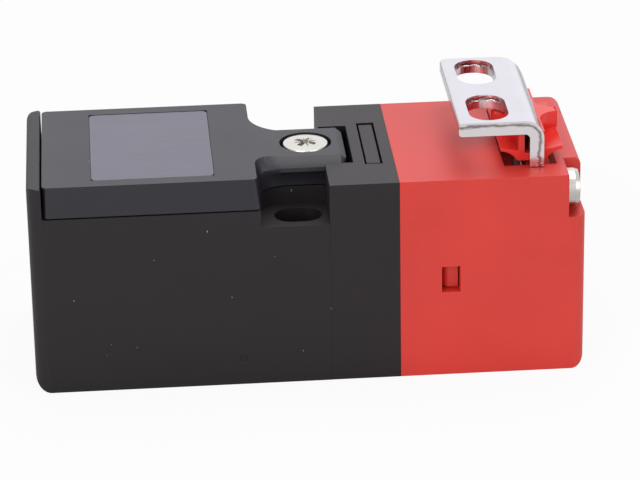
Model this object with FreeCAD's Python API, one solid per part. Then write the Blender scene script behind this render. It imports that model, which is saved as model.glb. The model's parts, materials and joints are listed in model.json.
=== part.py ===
import FreeCAD, Part
import math
import os
from FreeCAD import Vector

# Tongue interlock switch.  Millimetres.  +X runs from the cable end to the red head,
# +Z from the mounting face to the cover, Y across.  While the pieces are drawn, X is
# measured from the cable end; each piece is moved on export so that the origin lies
# between the two fixing holes, on the mounting face.

# ---------------------------------------------------------------- driving dimensions
WIDTH = 30.0            # across Y, and the height of collar and head
HALF = WIDTH / 2
COLLAR_X = 42.0         # seam between base and collar
HEAD_X = 51.8           # seam between collar and head
LENGTH = 78.1           # end face of the head
TOP_Z = 31.2            # top of cover and of the end wall beside it
RIM_Z = 26.6            # rim of the base that the cover sits on
COVER_SEAM = 0.2        # dark line between cover and base
SEAM = 0.2              # air between pieces of different bodies
WALL = 2.4

FIXING_X = 37.8         # fixing holes, M4
FIXING_SPACING = 22.0
FIXING_R = 2.15
MOUTH = (6.7, 2.4, 2.4)  # length along X, half width and depth of the fixing holes' mouths
NOTCH_X = 32.4          # recesses for the fixing screws' heads
NOTCH_Z = 24.1
NOTCH_Y = 6.6
NOTCH_CORNER = 4.0

END_WALL = 2.0          # wall between cover and cable end
NECK_END = 45.2         # the cover's neck reaches into the collar
NECK_TOP = (30.55, 5.0)  # height of the neck and half its width up there
NECK_RAMP = (32.0, 35.8) # the top slopes down from the cover to the neck
COVER_DRAFT = 0.5
COVER_SCREW_X = 39.7

AXIS_Z = WIDTH / 2      # plunger and cam axle lie on the middle of the section
CAM_X = 62.75
TONGUE_X = 71.45        # middle plane of the 2 mm tongue
SHEET = 2.0
SLOT_X = (67.0, 74.4)   # entry slot in the top face, along X
SLOT_Y = 10.6           # half its length across Y
BOSS = 6.6              # square corner bosses that the head's screws pass through
HEAD_WALL = 2.6
HEAD_SCREW = 3.1        # screw centre from the two outer faces beside it
SCREW_POCKET = 6.4      # square pocket at two corners of the end face
POCKET_DEPTH = 2.5

STROKE = 23.0           # withdrawal of the actuator
CATCH_TURN = math.radians(50)       # turn of the cam while the tongue's bar drives it
BAR_RISE = 2 * (TONGUE_X - CAM_X) * math.tan(CATCH_TURN / 2)
CAM_TURN = STROKE * CATCH_TURN / BAR_RISE
PLUNGER_TRAVEL = 3.5
CAM_BASE_R = 5.2
CATCH_R = 9.6
RUNNING = 0.05          # radial clearance of pins and the plunger

ENTRY_R = 8.0           # M16 cable entry, drawn at the thread's outer size
ENTRY_DEPTH = 8.0


# ---------------------------------------------------------------- helpers
def slab(x0, x1, y0, y1, z0, z1):
    return Part.makeBox(x1 - x0, y1 - y0, z1 - z0, Vector(x0, y0, z0))


def mid_slab(x0, x1, half_y, z0, z1):
    return slab(x0, x1, -half_y, half_y, z0, z1)


def rod_x(x0, x1, y, z, r):
    return Part.makeCylinder(r, x1 - x0, Vector(x0, y, z), Vector(1, 0, 0))


def rod_y(y0, y1, x, z, r):
    return Part.makeCylinder(r, y1 - y0, Vector(x, y0, z), Vector(0, 1, 0))


def rod_z(z0, z1, x, y, r):
    return Part.makeCylinder(r, z1 - z0, Vector(x, y, z0), Vector(0, 0, 1))


def outline(corners, place):
    """Closed wire through corners (a, b, radius), each rounded to its radius."""
    count = len(corners)
    starts, mids, ends = [], [], []
    for i, (a, b, radius) in enumerate(corners):
        here = Vector(a, b, 0)
        before = Vector(*corners[i - 1][:2], 0) - here
        after = Vector(*corners[(i + 1) % count][:2], 0) - here
        before.normalize()
        after.normalize()
        half_angle = before.getAngle(after) / 2
        if radius <= 0:
            starts.append(here)
            mids.append(None)
            ends.append(here)
            continue
        reach = radius / math.tan(half_angle)
        inward = before + after
        inward.normalize()
        centre = here + inward * (radius / math.sin(half_angle))
        starts.append(here + before * reach)
        mids.append(centre - inward * radius)
        ends.append(here + after * reach)
    edges = []
    for i in range(count):
        if mids[i] is not None:
            edges.append(Part.Arc(*(place(p.x, p.y) for p in (starts[i], mids[i], ends[i]))).toShape())
        leave, meet = ends[i], starts[(i + 1) % count]
        if (leave - meet).Length > 1e-6:
            edges.append(Part.makeLine(place(leave.x, leave.y), place(meet.x, meet.y)))
    return Part.Wire(edges)


def plan(corners, z0, z1):
    """Prism over an outline given in X and Y."""
    wire = outline(corners, lambda a, b: Vector(a, b, z0))
    return Part.Face(wire).extrude(Vector(0, 0, z1 - z0))


def side(corners, y0, y1):
    """Prism over an outline given in X and Z."""
    wire = outline(corners, lambda a, b: Vector(a, y0, b))
    return Part.Face(wire).extrude(Vector(0, y1 - y0, 0))


def front(corners, x0, x1):
    """Prism over an outline given in Y and Z."""
    wire = outline(corners, lambda a, b: Vector(x0, a, b))
    return Part.Face(wire).extrude(Vector(x1 - x0, 0, 0))


def round_edges(shape, radius, wanted):
    """Fillet the straight edges whose middle point and direction satisfy wanted."""
    chosen = []
    for edge in shape.Edges:
        if not isinstance(edge.Curve, Part.Line):
            continue
        if wanted(edge.CenterOfMass, edge.Curve.Direction):
            chosen.append(edge)
    return shape.makeFillet(radius, chosen) if chosen else shape


def both_sides(shape):
    """The shape and its mirror image across the middle plane."""
    return shape.fuse(shape.mirror(Vector(0, 0, 0), Vector(0, 1, 0)))


def group(shapes):
    return Part.makeCompound(shapes)


def near(a, b):
    return abs(a - b) < 0.01


os.makedirs("parts", exist_ok=True)


def export(name, shape):
    placed = shape.copy()
    placed.translate(Vector(-FIXING_X, 0, 0))
    placed.exportStep(f"parts/{name}.step")


# ---------------------------------------------------------------- cover and its neck
LABEL = (9.0, 26.2, 12.3)       # x from, x to, half width of the blank label field
SCREW_HEAD_R = 3.15
SCREW_SEAT = 1.75               # depth of the screw's seat
COVER_SKIN = 1.8


def cover_block():
    """Plate with drafted walls and a lower neck whose sides slope more, joined by rounded roots."""
    z0, z1 = RIM_Z + COVER_SEAM, TOP_Z
    x0, x1 = END_WALL + SEAM, NOTCH_X - 0.4
    y = HALF - 0.1 - COVER_DRAFT
    plate = side([(x0, z0, 0), (x1 + COVER_DRAFT, z0, 0), (x1, z1, 0), (x0, z1, 0)], -HALF, HALF)
    plate = plate.common(front([(-y - COVER_DRAFT, z0, 0), (y + COVER_DRAFT, z0, 0), (y, z1, 0), (-y, z1, 0)],
                               0, LENGTH))
    plate = round_edges(plate, 0.8, lambda c, d: abs(d.z) > 0.9)
    # the neck's sides, carried up to the cover's top so that the ramp can be cut from them
    top, half = NECK_TOP
    slope = (NOTCH_Y - half) / (top - z0)
    half_up = NOTCH_Y - slope * (z1 - z0)
    neck = front([(-NOTCH_Y, z0, 0), (NOTCH_Y, z0, 0), (half_up, z1, 0), (-half_up, z1, 0)], x1 - 5, NECK_END)
    neck = round_edges(neck, 0.8, lambda c, d: abs(d.z) > 0.9 and near(c.x, NECK_END))
    body = plate.fuse(neck).removeSplitter()
    body = round_edges(body, NOTCH_CORNER, lambda c, d: abs(d.z) > 0.9 and abs(c.x - x1) < 1 and abs(c.y) < NOTCH_Y)
    above = side([(NECK_RAMP[0], z1, 0), (NECK_RAMP[1], top, 0), (NECK_END - 0.9, top, 0), (NECK_END + 0.1, top - 0.8, 0),
                  (NECK_END + 1, top - 0.8, 0), (NECK_END + 1, z1 + 1, 0), (NECK_RAMP[0], z1 + 1, 0)], -HALF, HALF)
    return body.cut(above)


def cover():
    body = cover_block()
    hollow = slab(END_WALL + 2.4, NOTCH_X - 3.4, -HALF + 3.0, HALF - 3.0, RIM_Z - 1, TOP_Z - COVER_SKIN)
    body = body.cut(hollow)
    x0, x1, y = LABEL
    body = body.cut(mid_slab(x0, x1, y, TOP_Z - 0.45, TOP_Z + 1))
    # stiffening ribs under the skin
    for rib_x in (10.0, 17.5, 25.0):
        body = body.fuse(mid_slab(rib_x - 0.5, rib_x + 0.5, HALF - 2.9, TOP_Z - COVER_SKIN - 1.2, TOP_Z - 1.0))
    # counterbored seat of the captive screw
    top = NECK_TOP[0]
    body = body.cut(rod_z(top - SCREW_SEAT, top + 1, COVER_SCREW_X, 0, SCREW_HEAD_R + 0.3))
    body = body.cut(rod_z(RIM_Z - 1, top, COVER_SCREW_X, 0, 1.85))
    return body.removeSplitter()


def label_plate():
    x0, x1, y = LABEL
    gap = 0.05
    return mid_slab(x0 + gap, x1 - gap, y - gap, TOP_Z - 0.45, TOP_Z - 0.2)


COVER_SCREW_TIP = 20.6


def screw_z(x, y, seat, head_r, head_h, shank_r, length):
    """Upright screw without its driver recess."""
    return rod_z(seat, seat + head_h, x, y, head_r).fuse(rod_z(seat - length, seat, x, y, shank_r))


def cover_screw():
    """Captive screw with a cross recess."""
    seat, head_h = NECK_TOP[0] - SCREW_SEAT, SCREW_SEAT + 0.15
    screw = screw_z(COVER_SCREW_X, 0, seat, SCREW_HEAD_R, head_h, 1.75, seat - COVER_SCREW_TIP)
    reach = SCREW_HEAD_R * 0.6
    for angle in (45, 135):
        blade = slab(COVER_SCREW_X - reach, COVER_SCREW_X + reach, -0.4, 0.4, seat + 0.7, TOP_Z)
        blade.rotate(Vector(COVER_SCREW_X, 0, 0), Vector(0, 0, 1), angle)
        screw = screw.cut(blade)
    return screw


# ---------------------------------------------------------------- base housing
TRAY_END = 32.0
FLOOR_Z = 2.8
PLUNGER_R = 2.5
SPRING_BORE_R = 4.4
SPRING_SEAT_X = 34.0
COLLAR_SCREW = (5.6, 6.5)       # y and z of the screws that hold the collar
GASKET = 1.2


def rim_ring(inset_in, inset_out, z0, z1):
    """Rectangular ring that follows the tray's rim."""
    outer = slab(END_WALL + 0.6 - inset_out, TRAY_END - 0.6 + inset_out,
                 -HALF + 1.3 - inset_out, HALF - 1.3 + inset_out, z0, z1)
    inner = slab(END_WALL + 0.6 + inset_in, TRAY_END - 0.6 - inset_in,
                 -HALF + 1.3 + inset_in, HALF - 1.3 - inset_in, z0 - 1, z1 + 1)
    return outer.cut(inner)


def base_housing():
    corners = [(0, 0, 2.2), (COLLAR_X, 0, 0), (COLLAR_X, NOTCH_Z, 0), (NOTCH_X, NOTCH_Z, 0),
               (NOTCH_X, RIM_Z, 0), (END_WALL, RIM_Z, 0), (END_WALL, TOP_Z, 0.4), (0, TOP_Z, 0.8)]
    footprint = plan([(0, -HALF, 2.2), (COLLAR_X, -HALF, 0), (COLLAR_X, HALF, 0), (0, HALF, 2.2)],
                     -1, TOP_Z + 1)
    body = side(corners, -HALF, HALF).common(footprint)
    # boss under the cover's neck, with the same rounded roots as the cover
    root = NOTCH_X - 2
    boss = plan([(root, -HALF + 1, 0), (NOTCH_X, -HALF + 1, 0), (NOTCH_X, -NOTCH_Y, NOTCH_CORNER),
                 (COLLAR_X, -NOTCH_Y, 0), (COLLAR_X, NOTCH_Y, 0), (NOTCH_X, NOTCH_Y, NOTCH_CORNER),
                 (NOTCH_X, HALF - 1, 0), (root, HALF - 1, 0)], NOTCH_Z - 1, RIM_Z)
    body = body.fuse(boss)
    # tray
    tray = slab(WALL + 0.2, TRAY_END, -HALF + WALL, HALF - WALL, FLOOR_Z, RIM_Z + 1)
    tray = round_edges(tray, 1.0, lambda c, d: abs(d.z) > 0.9)
    body = body.cut(tray)
    # square boss that lengthens the cable entry's thread
    body = body.fuse(mid_slab(1, ENTRY_DEPTH, ENTRY_R + 1.8, AXIS_Z - ENTRY_R - 1.8, AXIS_Z + ENTRY_R + 1.8))
    body = body.cut(rod_x(-1, ENTRY_DEPTH + 1, 0, AXIS_Z, ENTRY_R))
    # ribs on the tray's walls that locate the contact block
    for rib_x in (13.0, 28.5):
        rib = slab(rib_x, rib_x + 1.2, HALF - WALL - 0.6, HALF - WALL + 0.5, FLOOR_Z - 0.5, RIM_Z - 4)
        body = body.fuse(both_sides(rib))
    # screw holes for the block's ears, and room for gasket, plunger, spring and screws
    for y in (-1, 1):
        body = body.cut(rod_z(0.8, FLOOR_Z + 1, 11.6, y * 9.6, 1.0))
    body = body.cut(rim_ring(GASKET / 2, GASKET / 2, RIM_Z - 1.0, RIM_Z + 1))
    body = body.cut(rod_x(TRAY_END - 1, COLLAR_X + 1, 0, AXIS_Z, PLUNGER_R + 0.5))
    body = body.cut(rod_x(SPRING_SEAT_X, COLLAR_X + 1, 0, AXIS_Z, SPRING_BORE_R))
    body = body.cut(rod_z(COVER_SCREW_TIP - 0.5, RIM_Z + 1, COVER_SCREW_X, 0, 1.95))
    for y in (-1, 1):
        sy, sz = y * COLLAR_SCREW[0], COLLAR_SCREW[1]
        body = body.cut(rod_x(TRAY_END - 1, COLLAR_X + 1, sy, sz, 1.3))
        body = body.cut(rod_x(TRAY_END - 1, TRAY_END + 2.2, sy, sz, 2.5))
        fy = y * FIXING_SPACING / 2
        body = body.cut(rod_z(-1, NOTCH_Z + 1, FIXING_X, fy, FIXING_R))
        reach, r, depth = MOUTH[0] / 2, MOUTH[1], MOUTH[2]
        body = body.cut(plan([(FIXING_X + sx * reach, fy + sy * r, r - 0.01)
                              for sx, sy in ((-1, -1), (1, -1), (1, 1), (-1, 1))], NOTCH_Z - depth, NOTCH_Z + 1))
    return body.removeSplitter()


def cover_gasket():
    return rim_ring(GASKET / 2 - 0.05, GASKET / 2 - 0.05, RIM_Z - 1.0, RIM_Z - 0.05)


def screw_x(x_seat, x_tip, y, z, r, head_r, head_h):
    """Screw lying along X; the head is at the seat, on the side away from the tip."""
    x_top = x_seat + (head_h if x_seat > x_tip else -head_h)
    head = rod_x(min(x_seat, x_top), max(x_seat, x_top), y, z, head_r)
    return head.fuse(rod_x(min(x_seat, x_tip), max(x_seat, x_tip), y, z, r))


def collar_screws():
    """Two screws from inside the tray that pull the collar against the base."""
    seat = TRAY_END + 2.2
    return group([screw_x(seat, COLLAR_X + 6.0, y * COLLAR_SCREW[0], COLLAR_SCREW[1], 1.2, 2.3, 1.6)
                  for y in (-1, 1)])


# ---------------------------------------------------------------- collar
COLLAR_CUT_X = 46.0
COLLAR_CUT_Y = 6.95
WINDOW = (47.6, 50.1, 7.75)     # x from, x to, half width
SEAL_X = (47.6, 49.6)
SEAL_R = 4.6
BUTTON_R = 5.2
SPIGOT_R = 10.0


def head_screw_places():
    offset = HALF - HEAD_SCREW
    return [(-offset, AXIS_Z + offset), (offset, AXIS_Z - offset)]


def seal_frame(x0, x1, grow):
    """Square frame just inside the outline of collar and head."""
    outer, inner = HALF - 0.7 + grow, HALF - 1.6 - grow
    frame = mid_slab(x0, x1, outer, AXIS_Z - outer, AXIS_Z + outer)
    return frame.cut(mid_slab(x0 - 1, x1 + 1, inner, AXIS_Z - inner, AXIS_Z + inner))


def collar():
    body = slab(COLLAR_X, HEAD_X, -HALF, HALF, 0, WIDTH)
    body = body.fuse(rod_x(HEAD_X - 1, HEAD_X + 1.4, 0, AXIS_Z, SPIGOT_R))
    body = body.cut(seal_frame(HEAD_X - 0.8, HEAD_X + 1, 0.05))
    body = body.cut(mid_slab(COLLAR_X - 1, COLLAR_CUT_X, COLLAR_CUT_Y, 24.5, WIDTH + 1))
    x0, x1, y = WINDOW
    body = body.cut(mid_slab(x0, x1, y, 26.0, WIDTH + 1))
    # the plunger's running bore, the pocket of its seal and room for its button
    body = body.cut(rod_x(COLLAR_X - 1, HEAD_X + 3, 0, AXIS_Z, PLUNGER_R + RUNNING))
    body = body.cut(rod_x(SEAL_X[0], SEAL_X[1] + 1, 0, AXIS_Z, SEAL_R))
    body = body.cut(rod_x(SEAL_X[1], HEAD_X + 3, 0, AXIS_Z, BUTTON_R + 0.4))
    # four threaded corners take the head in any of its four positions
    offset = HALF - HEAD_SCREW
    for y in (-offset, offset):
        for z in (AXIS_Z - offset, AXIS_Z + offset):
            body = body.cut(rod_x(COLLAR_X + 1.5, HEAD_X + 1, y, z, 1.3))
    for y in (-1, 1):
        body = body.cut(rod_x(COLLAR_X - 1, COLLAR_X + 6.2, y * COLLAR_SCREW[0], COLLAR_SCREW[1], 1.2))
    return body.removeSplitter()


def collar_insert():
    """Blanking piece that sits flush in the collar's window."""
    x0, x1, y = WINDOW
    gap = 0.25
    return mid_slab(x0 + gap, x1 - gap, y - 0.5, 26.0, WIDTH - 0.1)


def plunger_seal():
    """Lip seal behind the plunger's button."""
    ring = rod_x(*SEAL_X, 0, AXIS_Z, SEAL_R)
    return ring.cut(rod_x(COLLAR_X, HEAD_X, 0, AXIS_Z, PLUNGER_R + RUNNING))


# ---------------------------------------------------------------- head
CAVITY_END = 74.9
END_ROUND = 1.9
END_ROUND_TOP = 1.1
CRADLE_Y = (8.3, 10.0)
SNAP_X = (57.7, 60.3)
SNAP_Z = (12.9, 16.8)
DEEP_SLOT_Y = 8.2


def head_housing():
    body = side([(HEAD_X, 0, 0), (LENGTH, 0, END_ROUND), (LENGTH, WIDTH, END_ROUND_TOP),
                 (HEAD_X, WIDTH, 0)], -HALF, HALF)
    body = body.common(plan([(HEAD_X, -HALF, 0), (LENGTH, -HALF, END_ROUND), (LENGTH, HALF, END_ROUND),
                             (HEAD_X, HALF, 0)], 0, WIDTH))
    inner = HALF - HEAD_WALL
    cavity = slab(HEAD_X - 1, CAVITY_END, -inner, inner, AXIS_Z - inner, AXIS_Z + inner)
    for y in (-HALF, HALF - BOSS):
        for z in (0, WIDTH - BOSS):
            cavity = cavity.cut(slab(HEAD_X - 1, LENGTH, y, y + BOSS, z, z + BOSS))
    body = body.cut(cavity)
    body = body.cut(rod_x(HEAD_X - 1, HEAD_X + 1.6, 0, AXIS_Z, SPIGOT_R + 0.2))
    # entry slots: the top one has shallow ends over the corner bosses, the one in the end
    # face stays between the screw pockets
    body = body.cut(mid_slab(SLOT_X[0], SLOT_X[1], SLOT_Y, WIDTH - 1.4, WIDTH + 1))
    body = body.cut(mid_slab(SLOT_X[0], SLOT_X[1], DEEP_SLOT_Y, WIDTH - 4, WIDTH + 1))
    low, high = (AXIS_Z + x - CAM_X for x in SLOT_X)
    body = body.cut(mid_slab(LENGTH - 4, LENGTH + 1, DEEP_SLOT_Y, low, high))
    # screw pockets and holes at two opposite corners
    for y, z in head_screw_places():
        pocket = slab(LENGTH - POCKET_DEPTH, LENGTH + 1, HALF - SCREW_POCKET, HALF + 1,
                      WIDTH - SCREW_POCKET, WIDTH + 1)
        pocket.rotate(Vector(0, 0, AXIS_Z), Vector(1, 0, 0), 90 if y < 0 else -90)
        body = body.cut(pocket)
        body = body.cut(rod_x(HEAD_X - 1, LENGTH, y, z, 1.45))
    # windows that the cradle snaps into
    window = slab(SNAP_X[0], SNAP_X[1], inner - 1, HALF + 1, SNAP_Z[0], SNAP_Z[1])
    body = body.cut(both_sides(window))
    return body.removeSplitter()


def head_screws():
    seat = LENGTH - POCKET_DEPTH
    screws = []
    for y, z in head_screw_places():
        screws.append(screw_x(seat, COLLAR_X + 2.5, y, z, 1.25, 2.75, 1.9))
    return group(screws)


# ---------------------------------------------------------------- cam and its cradle
CAM_RISE = PLUNGER_TRAVEL / CAM_TURN        # spiral's rise per radian
PROFILE_Y = (2.6, 5.0)
CATCH_Y = 2.2
AXLE_R = 1.5
BAR_HEIGHT = 2.2
CATCH_ANGLE = -CATCH_TURN / 2               # direction of the bar from the axle at rest


def cam_cradle():
    """Cage in the head: a plate round the plunger's button and two cheeks for the axle."""
    wide, cut = 11.2, 5.2
    corners = [(-wide, -cut), (-cut, -wide), (cut, -wide), (wide, -cut),
               (wide, cut), (cut, wide), (-cut, wide), (-wide, cut)]
    ring = front([(y, AXIS_Z + z, 0) for y, z in corners], HEAD_X + 1.8, HEAD_X + 3.0)
    low, high = AXIS_Z - 6.6, AXIS_Z + 6.6
    cheek = side([(HEAD_X + 1.8, low, 0), (61.0, low, 3.0), (66.6, low + 2.8, 3.0),
                  (66.6, high - 2.8, 3.0), (61.0, high, 3.0), (HEAD_X + 1.8, high, 0)], *CRADLE_Y)
    nose = slab(SNAP_X[0] + 0.2, SNAP_X[1] - 0.2, CRADLE_Y[1] - 0.2, HALF - 1.4,
                SNAP_Z[0] + 0.2, SNAP_Z[1] - 0.2)
    nose = round_edges(nose, 1.0, lambda c, d: near(c.x, SNAP_X[0] + 0.2) and near(c.y, HALF - 1.4))
    body = ring.fuse([both_sides(cheek), both_sides(nose)])
    body = body.cut(rod_x(HEAD_X + 1, HEAD_X + 4, 0, AXIS_Z, BUTTON_R + 0.4))
    # room for the cam where it swings through the plate
    body = body.cut(rod_y(-PROFILE_Y[1] - 0.4, PROFILE_Y[1] + 0.4, CAM_X, AXIS_Z, CATCH_R + 0.4))
    return body.cut(rod_y(-HALF, HALF, CAM_X, AXIS_Z, AXLE_R)).removeSplitter()


def cam_axle():
    return rod_y(-CRADLE_Y[1], CRADLE_Y[1], CAM_X, AXIS_Z, AXLE_R)


def polar(radius, angle, y=0.0):
    return Vector(CAM_X + radius * math.cos(angle), y, AXIS_Z + radius * math.sin(angle))


def cam_profile(y0, y1):
    """Disc whose radius grows evenly along the angle that passes the plunger."""
    last = CAM_TURN + math.radians(25)
    arcs = 5
    spiral = [polar(CAM_BASE_R + CAM_RISE * last * i / (2 * arcs), math.pi - last * i / (2 * arcs), y0)
              for i in range(2 * arcs + 1)]
    edges = [Part.Arc(*spiral[i:i + 3]).toShape() for i in range(0, 2 * arcs, 2)]
    step = polar(CAM_BASE_R, math.pi - last - math.radians(25), y0)
    edges.append(Part.makeLine(spiral[-1], step))
    edges.append(Part.Arc(step, polar(CAM_BASE_R, -math.radians(100), y0), spiral[0]).toShape())
    return Part.Face(Part.Wire(edges)).extrude(Vector(0, y1 - y0, 0))


def catch_disc():
    """Sector with one notch for a tongue from above and one for a tongue from the end."""
    y0, y1 = -CATCH_Y, CATCH_Y
    from_angle, to_angle = CATCH_ANGLE - math.radians(32), CATCH_ANGLE + math.radians(72)
    reach = CATCH_R * 2
    wedge = Part.Face(Part.makePolygon([polar(0, 0, y0), polar(reach, from_angle, y0),
                                        polar(reach, (from_angle + to_angle) / 2, y0),
                                        polar(reach, to_angle, y0), polar(0, 0, y0)]))
    disc = rod_y(y0, y1, CAM_X, AXIS_Z, CATCH_R).common(wedge.extrude(Vector(0, y1 - y0, 0)))
    between = math.pi / 2 - CATCH_TURN      # the two entry directions, less one full turn of the catch
    for angle in (CATCH_ANGLE, CATCH_ANGLE + between):
        notch = slab(CAM_X + 7.2, CAM_X + 14, y0 - 1, y1 + 1, AXIS_Z - 1.7, AXIS_Z + 1.7)
        notch.rotate(Vector(CAM_X, 0, AXIS_Z), Vector(0, -1, 0), math.degrees(angle))
        disc = disc.cut(notch)
    return disc


def cam_wheel():
    hub = rod_y(-CRADLE_Y[0] + SEAM, CRADLE_Y[0] - SEAM, CAM_X, AXIS_Z, 3.6)
    body = hub.fuse([both_sides(cam_profile(*PROFILE_Y)), catch_disc()])
    return body.cut(rod_y(-HALF, HALF, CAM_X, AXIS_Z, AXLE_R + RUNNING)).removeSplitter()


# ---------------------------------------------------------------- plunger and contacts
FACE_X = CAM_X - CAM_BASE_R - CAM_RISE ** 2 / (2 * CAM_BASE_R) - 0.1
CARRIER_X = (18.2, 31.2)
SPRING_FLANGE_X = 40.6
BRIDGE = 0.5                    # thickness of the moving contact strips
BRIDGE_NC_X = 19.5              # closed while the tongue is in
BRIDGE_NO_X = 28.0              # open while the tongue is in
TIP = 0.6                       # contact rivets' height
TIP_Y = 6.3
CONTACT_GAP = 0.1


def plunger():
    rod = rod_x(CARRIER_X[1] - 1.2, FACE_X - 1, 0, AXIS_Z, PLUNGER_R)
    flange = rod_x(SPRING_FLANGE_X, SPRING_FLANGE_X + 1.0, 0, AXIS_Z, SPRING_BORE_R - 0.25)
    button = rod_x(FACE_X - 2.6, FACE_X, 0, AXIS_Z, BUTTON_R)
    body = rod.fuse([flange, button])
    return body.cut(mid_slab(FACE_X - 1.5, FACE_X + 1, PROFILE_Y[0] + 0.1, 0, WIDTH)).removeSplitter()


def return_spring():
    """Coil around the plunger, pressing its flange towards the cam; the wire is six-sided."""
    wire_r = 0.36
    coil_r = 3.5
    x0 = SPRING_SEAT_X + wire_r + 0.05
    length = SPRING_FLANGE_X - SPRING_SEAT_X - 2 * wire_r - 0.1
    turns, steps = 4.5, 12
    count = int(turns * steps)
    rings = []
    for i in range(count + 1):
        angle = 2 * math.pi * i / steps
        ring = []
        for k in range(6):
            r = coil_r + wire_r * math.cos(math.pi * k / 3)
            x = x0 + length * i / count + wire_r * math.sin(math.pi * k / 3)
            ring.append(Vector(x, r * math.cos(angle), AXIS_Z + r * math.sin(angle)))
        rings.append(ring)
    faces = [Part.Face(Part.makePolygon(ring + [ring[0]])) for ring in (rings[0], rings[-1])]
    for near_ring, far_ring in zip(rings, rings[1:]):
        for k in range(6):
            a, b = near_ring[k - 1], near_ring[k]
            c, d = far_ring[k], far_ring[k - 1]
            faces.append(Part.Face(Part.makePolygon([a, b, c, a])))
            faces.append(Part.Face(Part.makePolygon([a, c, d, a])))
    coil = Part.makeSolid(Part.makeShell(faces))
    if coil.Volume < 0:
        coil.reverse()
    return coil


def contact_carrier():
    x0, x1 = CARRIER_X
    body = mid_slab(x0, x1, 3.2, 12.0, 18.0)
    for x in (BRIDGE_NC_X, BRIDGE_NO_X):
        body = body.cut(mid_slab(x - BRIDGE / 2, x + BRIDGE / 2 + 1.2, 4, 13.4, 16.6))
    return body.cut(rod_x(x1 - 1.2, x1 + 1, 0, AXIS_Z, PLUNGER_R)).removeSplitter()


def contact_bridge(x, tip_side):
    strip = mid_slab(x - BRIDGE / 2, x + BRIDGE / 2, TIP_Y + 1.3, 13.5, 16.5)
    face = x + tip_side * BRIDGE / 2
    tip = rod_x(min(face, face + tip_side * TIP), max(face, face + tip_side * TIP), TIP_Y, AXIS_Z, 1.1)
    return strip.fuse(both_sides(tip))


def nc_bridge():
    return contact_bridge(BRIDGE_NC_X, 1)


def no_bridge():
    return contact_bridge(BRIDGE_NO_X, -1)


BLOCK_X = (13.5, 31.6)
BLOCK_Y = 11.6
BLOCK_TOP = 19.4
STRIP = 0.6
TERMINAL_Y = 9.3
TERMINAL_X = (17.0, 28.2)


def fixed_contact(face, tip_side, terminal_x):
    """Brass angle: contact rivet on the upright, forked terminal tab on top."""
    back = face - tip_side * TIP
    low, high = sorted((back, back - tip_side * STRIP))
    upright = slab(low, high, 5.0, BLOCK_Y - 0.4, 13.2, BLOCK_TOP - 1.8)
    riser = slab(low, high, 7.0, BLOCK_Y - 0.4, BLOCK_TOP - 2, BLOCK_TOP + STRIP)
    tab = slab(min(low, terminal_x - 2.6), max(high, terminal_x + 2.6),
               7.0, BLOCK_Y - 0.4, BLOCK_TOP, BLOCK_TOP + STRIP)
    tip = rod_x(min(face, back), max(face, back), TIP_Y, AXIS_Z, 1.1)
    body = upright.fuse([riser, tab, tip])
    return body.cut(slab(terminal_x - 1.4, terminal_x + 1.4, TERMINAL_Y - 1.4, BLOCK_Y, BLOCK_TOP - 1, BLOCK_TOP + 2))


def nc_contacts():
    face = BRIDGE_NC_X + BRIDGE / 2 + TIP + CONTACT_GAP
    near_side = fixed_contact(face, -1, TERMINAL_X[0])
    return group([near_side, near_side.mirror(Vector(0, 0, 0), Vector(0, 1, 0))])


def no_contacts():
    face = BRIDGE_NO_X - BRIDGE / 2 - TIP - CONTACT_GAP - PLUNGER_TRAVEL
    near_side = fixed_contact(face, 1, TERMINAL_X[1])
    return group([near_side, near_side.mirror(Vector(0, 0, 0), Vector(0, 1, 0))])


def contact_block():
    x0, x1 = BLOCK_X
    body = mid_slab(x0, x1, BLOCK_Y, FLOOR_Z + 0.05, BLOCK_TOP)
    body = body.cut(mid_slab(x0 + 0.9, x1 + 1, 3.6, 11.6, BLOCK_TOP + 1))
    # chamber that the bridges travel in, with slots for the brass angles
    body = body.cut(mid_slab(x0 + 1.6, x1 - 1.4, 8.0, 12.6, BLOCK_TOP - 1.6))
    for face, tip_side in ((BRIDGE_NC_X + BRIDGE / 2 + TIP + CONTACT_GAP, -1),
                           (BRIDGE_NO_X - BRIDGE / 2 - TIP - CONTACT_GAP - PLUNGER_TRAVEL, 1)):
        back = face - tip_side * TIP
        low, high = sorted((back, back - tip_side * STRIP))
        body = body.cut(both_sides(slab(low, high, 4.9, BLOCK_Y - 0.4, 13.2, BLOCK_TOP + 1)))
    # wells under the terminals, raised walls between them
    for x in TERMINAL_X:
        for y in (-TERMINAL_Y, TERMINAL_Y):
            body = body.cut(slab(x - 1.4, x + 1.4, y - 1.4, y + 1.4, BLOCK_TOP - 6.5, BLOCK_TOP + 1))
    wall = slab(21.75, 22.25, 6.0, BLOCK_Y, BLOCK_TOP - 0.5, BLOCK_TOP + 3.6)
    inner_wall = slab(x0 + 0.8, x1 - 0.4, 6.0, 6.7, BLOCK_TOP - 0.5, BLOCK_TOP + 3.6)
    body = body.fuse([both_sides(wall), both_sides(inner_wall)])
    # ears at the cable end
    ear = slab(x0 - 3.6, x0 + 0.5, 7.6, BLOCK_Y, FLOOR_Z + 0.05, FLOOR_Z + 2.0)
    ear = round_edges(ear, 1.6, lambda c, d: abs(d.z) > 0.9 and near(c.x, x0 - 3.6))
    body = body.fuse(both_sides(ear))
    for y in (-9.6, 9.6):
        body = body.cut(rod_z(0, FLOOR_Z + 3, 11.6, y, 1.2))
    return body.removeSplitter()


def block_lid():
    """Plate over the contact chamber, between the terminals' walls."""
    x0, x1 = BLOCK_X
    return mid_slab(x0 + 0.8, x1 - 0.2, 5.9, BLOCK_TOP + 0.05, BLOCK_TOP + 1.2)


def block_screws():
    return group([screw_z(11.6, y, FLOOR_Z + 2.0, 1.9, 1.2, 1.0, 3.8) for y in (-9.6, 9.6)])


def terminal_places():
    return [(x, y) for x in TERMINAL_X for y in (-TERMINAL_Y, TERMINAL_Y)]


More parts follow.
